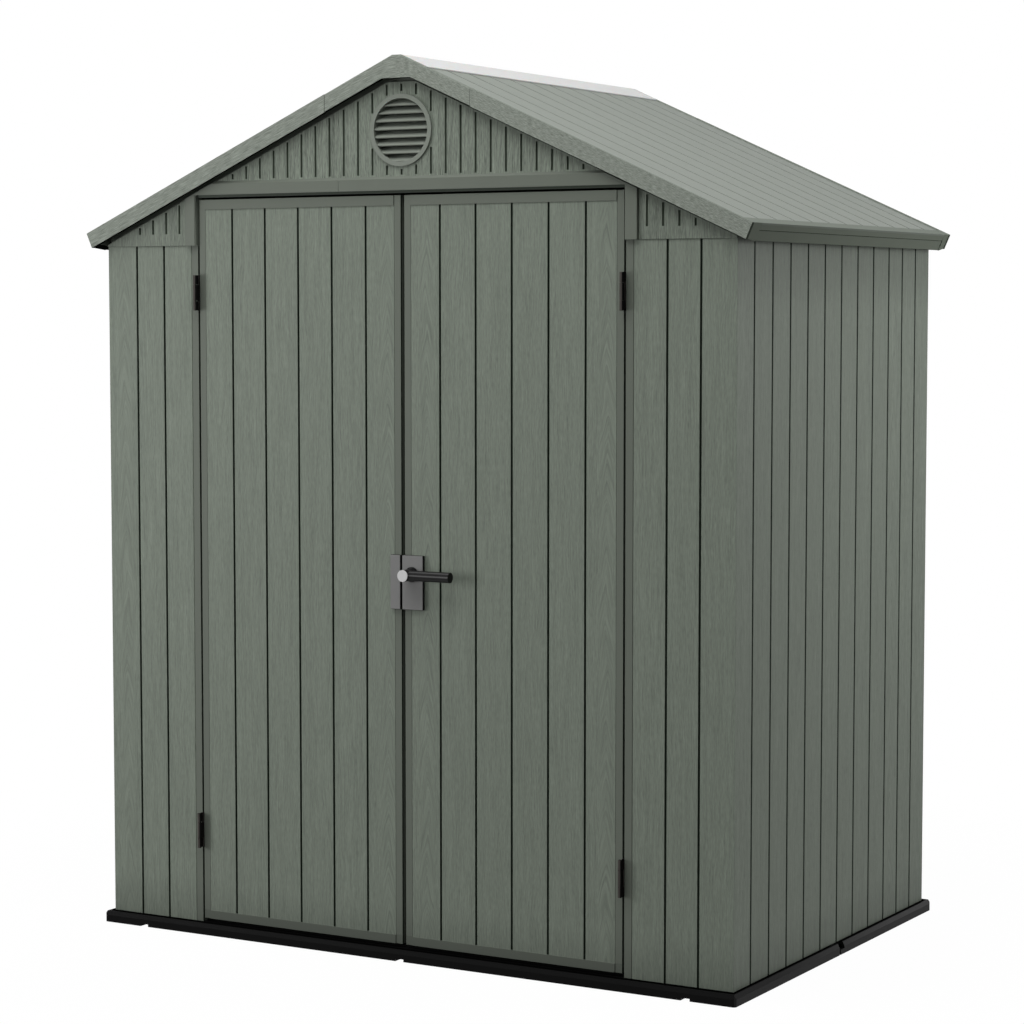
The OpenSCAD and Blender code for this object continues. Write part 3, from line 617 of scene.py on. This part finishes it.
def header_resin():
    """Smooth resin with painted shade on the recessed band along the underside of its face."""
    g = Material("header_resin")
    cloud = g.cloud((g.x, 12.0), (g.z, 12.0), detail=3.0)
    low = g.below(g.z, HEADER_LOW + HEADER_BAND)
    back = g.above(g.y, HEADER_FACE + BAND_DEPTH)
    middle = g.below(g.absolute(g.x), JAMB_X - EDGE)
    lit = g.scaled(linear(SMOOTH), g.tone(cloud, 0.02, middle=1.05))
    # Painted shade in the recessed band
    lit = g.colour(g.times(low, back, middle), lit, linear(RECESS_SHADE))
    return g.finish(lit, cloud, relief=0.1 * MM, roughness=0.5, highlight=0.2)


def channel_shade_share(g):
    """Share of painted shade: 1 in the channel round the walls, inside the base's rim and outside the
    walls.
    """
    far_x, far_y = g.absolute(g.x), g.absolute(g.y)
    inside = g.times(g.below(far_x, BASE_SIDE_X - BASE_RIM), g.below(far_y, BASE_FRONT_Y - BASE_RIM))
    outside = g.largest(g.above(far_x, WALL_SIDE - CLEAR), g.above(far_y, abs(WALL_FRONT) - CLEAR))
    return g.times(inside, outside)


def base_resin():
    """Black base: painted sheen on its sides, growing to the rear on the slopes; painted shade in the
    channel.
    """
    g = Material("base_resin")
    cloud = g.cloud((g.x, 15.0), (g.y, 15.0), (g.z, 40.0), detail=3.0)
    side = g.above(g.absolute(g.nx), 0.5)
    slope = g.times(g.above(g.nz, 0.2), side)
    # Painted sheen: sides lighter than the black front, side slopes growing lighter to the rear
    lit = g.colour(side, linear(BLACK), linear(BASE_SIDE_SHEEN))
    lit = g.colour(slope, lit, g.scaled(linear(BASE_SLOPE_SHEEN), g.ramp(g.y, *SLOPE_SHEEN)))
    # Painted shade in the channel
    lit = g.colour(channel_shade_share(g), g.scaled(lit, g.tone(cloud, 0.05)), linear(CHANNEL_SHADE))
    return g.finish(lit, cloud, relief=0.1 * MM, roughness=0.4, highlight=0.02)


def hinge_resin():
    """Black hinge with a painted light, brownish, on the flank that faces the light."""
    g = Material("hinge_resin")
    cloud = g.cloud((g.x, 100.0), (g.y, 100.0), (g.z, 20.0))
    # Painted light on the flank that faces the light
    flank = g.times(g.below(g.nx, 0.6), g.below(g.ny, -0.3))
    lit = g.scaled(g.colour(flank, linear(HINGE), linear(PAINTED_HINGE_LIGHT)), g.tone(cloud, 0.15))
    return g.finish(lit, cloud, relief=0.05 * MM, roughness=0.4, highlight=0.0)


def plate_resin():
    """Grey face plates with black sides."""
    g = Material("plate_resin")
    cloud = g.cloud((g.x, 30.0), (g.z, 30.0), detail=3.0)
    lit = g.scaled(linear(PLATE), g.tone(cloud, 0.03))
    lit = g.colour(g.above(g.ny, -0.7), lit, linear(PLATE_SIDE))
    return g.finish(lit, cloud, relief=0.05 * MM, roughness=0.45, highlight=0.1)


def highlight_band(g, start, full, fade, end):
    """A painted highlight streak between two upward shares of the normal, full from the second share to the
    third.
    """
    return g.times(g.ramp(g.nz, start, full), g.ramp(g.nz, end, fade))


def lever_resin():
    """Black lever with painted highlight streaks along its arm."""
    g = Material("lever_resin")
    cloud = g.cloud((g.x, 25.0), (g.z, 150.0), (g.y, 150.0))
    arm = g.times(g.above(g.x, LEVER_FOOT), g.below(g.nx, 0.5))
    # Painted highlight streaks on the arm
    painted_highlights = g.times(g.add(g.times(highlight_band(g, *UPPER_HIGHLIGHT), 0.7), highlight_band(g, *MIDDLE_HIGHLIGHT)), arm)
    lit = g.colour(painted_highlights, g.scaled(linear(LEVER), g.tone(cloud, 0.2)), linear(LEVER_HIGHLIGHT))
    return g.finish(lit, cloud, relief=0.05 * MM, roughness=0.35, highlight=0.15)


# ---- Nodes ----

def soften(name, width):
    """Rounds the edges of a CAD node with modifiers. Its own vertices stay as they are."""
    piece = nodes[name]
    for polygon in piece.data.polygons:
        polygon.use_smooth = False
    weld = piece.modifiers.new("weld", "WELD")
    weld.merge_threshold = 0.01 * MM
    flat = piece.modifiers.new("flat", "DECIMATE")
    flat.decimate_type = "DISSOLVE"
    flat.angle_limit = math.radians(0.5)
    bevel = piece.modifiers.new("edge", "BEVEL")
    bevel.width = width
    bevel.segments = 3 if width > WIDE_EDGE else 2
    bevel.limit_method = "ANGLE"
    bevel.angle_limit = math.radians(30)
    bevel.use_clamp_overlap = True
    bevel.harden_normals = False
    shade = piece.modifiers.new("shade", "WEIGHTED_NORMAL")
    shade.keep_sharp = True


def paint(names, material):
    """Gives the named nodes one material."""
    for name in names:
        for slot in nodes[name].material_slots:
            slot.material = material


def all_named(start):
    """Names of the nodes that start with the given word."""
    return [name for name in nodes if name.startswith(start)]


def finish_walls():
    """Boards of the walls, doors, shoulders and gables. Only the two gables share a seed."""
    front, back = (WALL_FRONT, -1), (WALL_BACK, 1)
    gable, rear_gable = (GABLE_FRONT, -1), (-GABLE_FRONT, 1)
    for seed, (word, sign) in enumerate((("left", -1), ("right", 1))):
        side = (sign * WALL_SIDE, sign)
        corner, rear, flank = "front_corner_" + word, "rear_corner_" + word, "side_panel_" + word
        panel, leaf, shoulder = "back_panel_" + word, "door_" + word, "shoulder_" + word
        paint([corner], board_resin("corner_front_" + word, corner, seed + 1.0, front, side,
                                    smooth=corner_smooth))
        paint([rear], board_resin("corner_rear_" + word, rear, seed + 3.0, back, side,
                                  size=1.3, force=1.1))
        paint([flank], board_resin("side_" + word, flank, seed + 5.0, None, side, force=0.85))
        paint([panel], board_resin("back_" + word, panel, seed + 7.0, back))
        paint([leaf], board_resin("leaf_" + word, leaf, seed + 9.0, front, smooth=door_smooth(leaf)))
        # The shoulders' shade below 1 is painted shade under the fascias
        paint([shoulder], board_resin("shoulder_resin_" + word, shoulder, seed + 11.0, gable,
                                      force=1.8, line=SLOT_SHADE, shade=0.87))
    for word, face in (("front", gable), ("rear", rear_gable)):
        node = word + "_gable"
        # The gables' shade below 1 is painted shade under the fascias
        paint([node], board_resin("gable_" + word, node, 13.0, face, force=2.0, line=SLOT_SHADE, shade=0.97))


def finish_nodes():
    """Materials and rounded edges of all nodes."""
    finish_walls()
    paint(["door_header"], header_resin())
    paint(["front_vent", "rear_vent"], smooth_resin("vent_resin", VENT))
    paint(all_named("roof_"), roof_resin())
    paint(all_named("front_fascia") + all_named("rear_fascia"), fascia_resin())
    paint(all_named("eave_trim"), trim_resin())
    paint(["ridge_skylight"], skylight_resin())
    paint(all_named("floor_"), base_resin())
    paint(all_named("wall_hinges") + all_named("door_hinges"), hinge_resin())
    paint(["strike_plate", "lock_plate"], plate_resin())
    paint(["lever_handle"], lever_resin())
    paint(["lever_cap"], smooth_resin("cap_resin", CAP, roughness=0.4))
    for name in nodes:
        soften(name, next((width for word, width in EDGES.items() if word in name), EDGE))


# ---- Stage ----

def seen_share(g):
    """1 for camera rays, reflections and rays through glass, 0 for all others."""
    path = g.node("ShaderNodeLightPath")
    rays = ("Is Camera Ray", "Is Glossy Ray", "Is Transmission Ray")
    return g.largest(*(path.outputs[ray] for ray in rays))


def make_floor():
    """A floor that looks white, keeps a faint shadow round the object and throws little light back."""
    bpy.ops.mesh.primitive_plane_add(size=FLOOR_SIZE)
    floor = bpy.context.object
    floor.name = "floor"
    g = Material("pale_floor")
    seen = seen_share(g)
    g.feed(g.shader.inputs["Base Color"], g.colour(seen, FLOOR_LIT, FLOOR_SEEN))
    g.shader.inputs["Roughness"].default_value = 0.9
    g.shader.inputs["Specular IOR Level"].default_value = 0.0
    white = g.times(g.ramp(g.length(g.x, g.y), *FLOOR_REACH, FLOOR_GLOW, 1.0), seen)
    surface = g.mix(white, g.shader.outputs[0], g.node("ShaderNodeEmission").outputs[0])
    g.feed(g.tree.nodes["Material Output"].inputs[0], surface)
    floor.data.materials.append(g.material)


def make_world(level):
    """Even soft light from the sky half of the world, and a white background."""
    world = bpy.data.worlds.new("studio")
    bpy.context.scene.world = world
    world.use_nodes = True
    world.node_tree.nodes.clear()
    g = Graph(world.node_tree)
    _, _, height = g.split(g.node("ShaderNodeTexCoord").outputs["Generated"])
    light = g.node("ShaderNodeBackground")
    g.feed(light.inputs["Strength"], g.times(g.above(height, 0.0), level))
    white = g.node("ShaderNodeBackground", (1, 1, 1, 1))
    g.node("ShaderNodeOutputWorld", g.mix(seen_share(g), light.outputs[0], white.outputs[0]))


def lamp(name, place, target, size, level):
    """A soft square lamp that gives a facing surface at target the given share of full light."""
    light = bpy.data.lights.new(name, "AREA")
    light.size = size
    aim = Vector(target) - Vector(place)
    light.energy = level * math.pi ** 2 * aim.length_squared
    holder = bpy.data.objects.new(name, light)
    holder.location = place
    holder.rotation_euler = aim.to_track_quat("-Z", "Y").to_euler()
    holder.visible_camera = False
    holder.visible_glossy = name != "rear"
    bpy.context.scene.collection.objects.link(holder)


def make_camera():
    """The camera, in front of the shed and to its right."""
    data = bpy.data.cameras.new("camera")
    data.lens = CAMERA_LENS
    data.sensor_width = CAMERA_SENSOR
    camera = bpy.data.objects.new("camera", data)
    camera.location = CAMERA_PLACE
    camera.rotation_euler = (math.radians(90 - CAMERA_DOWN), 0, math.radians(CAMERA_TURN))
    bpy.context.scene.collection.objects.link(camera)
    bpy.context.scene.camera = camera


make_camera()
bpy.context.scene.view_settings.view_transform = "Standard"
finish_nodes()
make_floor()
make_world(SKY)
for row in LAMPS:
    lamp(*row)
